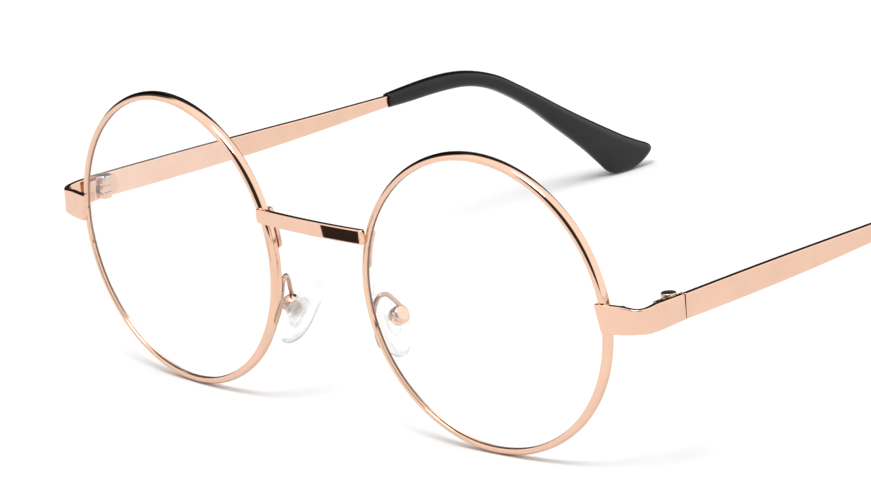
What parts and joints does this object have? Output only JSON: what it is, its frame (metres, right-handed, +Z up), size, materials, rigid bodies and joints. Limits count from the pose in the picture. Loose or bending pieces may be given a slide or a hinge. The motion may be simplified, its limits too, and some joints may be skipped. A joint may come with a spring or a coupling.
{
  "type": "eyeglasses",
  "caption": "Round wire eyeglasses with clear lenses, flat bridge band, slim folding temples with curved black tips and rocking clear nose pads.",
  "frame": {"origin": "on the table plane, midway across the glasses and midway along their open depth; the rims' and tips' lowest points touch Z = 0", "axes": "+X towards the wearer's left, +Y from the front back towards the temple tips, +Z up; names ending _left and _right are the wearer's left and right; temples open at rest"},
  "size_m": [0.1354, 0.1478, 0.051],
  "materials": {
    "rose_gold": "polished rose-gold plating on nickel silver, faint handling scratches",
    "rose_gold_small_parts": "polished rose-gold plating, solder-softened edges",
    "screw_steel": "turned and polished, slotted heads",
    "clear_lens": "clear, polished, anti-reflection coated",
    "clear_silicone": "clear silicone, satin",
    "pad_insert": "clear hard plastic",
    "black_tip": "black acetate, tumbled gloss"
  },
  "bodies": {
    "front": {"rim_left": "rose_gold", "rim_right": "rose_gold", "lens_left": "clear_lens", "lens_right": "clear_lens", "bridge": "rose_gold", "bridge_brace_left": "rose_gold_small_parts", "bridge_brace_right": "rose_gold_small_parts", "end_piece_left": "rose_gold", "end_piece_right": "rose_gold", "closing_block_upper_left": "rose_gold_small_parts", "closing_block_upper_right": "rose_gold_small_parts", "closing_block_lower_left": "rose_gold_small_parts", "closing_block_lower_right": "rose_gold_small_parts", "closing_screw_left": "screw_steel", "closing_screw_right": "screw_steel", "front_hinge_leaf_left": "rose_gold_small_parts", "front_hinge_leaf_right": "rose_gold_small_parts", "hinge_screw_left": "screw_steel", "hinge_screw_right": "screw_steel", "pad_arm_left": "rose_gold", "pad_arm_right": "rose_gold", "pad_box_left": "rose_gold", "pad_box_right": "rose_gold", "pad_screw_left": "screw_steel", "pad_screw_right": "screw_steel"},
    "left_temple": {"temple_hinge_leaf_left": "rose_gold_small_parts", "temple_left": "rose_gold", "temple_tip_left": "black_tip"},
    "right_temple": {"temple_hinge_leaf_right": "rose_gold_small_parts", "temple_right": "rose_gold", "temple_tip_right": "black_tip"},
    "left_pad": {"pad_insert_left": "pad_insert", "nose_pad_left": "clear_silicone"},
    "right_pad": {"pad_insert_right": "pad_insert", "nose_pad_right": "clear_silicone"}
  },
  "joints": [
    {"name": "left_temple_fold", "type": "hinge", "parent": "front", "child": "left_temple", "pos_m": [0.06537, -0.0581, 0.02724], "axis": [0, 0, 1], "range_deg": [0, 88.5]},
    {"name": "right_temple_fold", "type": "hinge", "parent": "front", "child": "right_temple", "pos_m": [-0.06537, -0.0581, 0.02724], "axis": [0, 0, -1], "range_deg": [0, 85.5]},
    {"name": "left_pad_rock", "type": "hinge", "parent": "front", "child": "left_pad", "pos_m": [0.01305, -0.06598, 0.01927], "axis": [-0.0069, -0.9815, 0.1912], "range_deg": [-12, 12]},
    {"name": "right_pad_rock", "type": "hinge", "parent": "front", "child": "right_pad", "pos_m": [-0.01305, -0.06587, 0.01678], "axis": [0.0069, -0.9815, 0.1912], "range_deg": [-12, 12]}
  ]
}
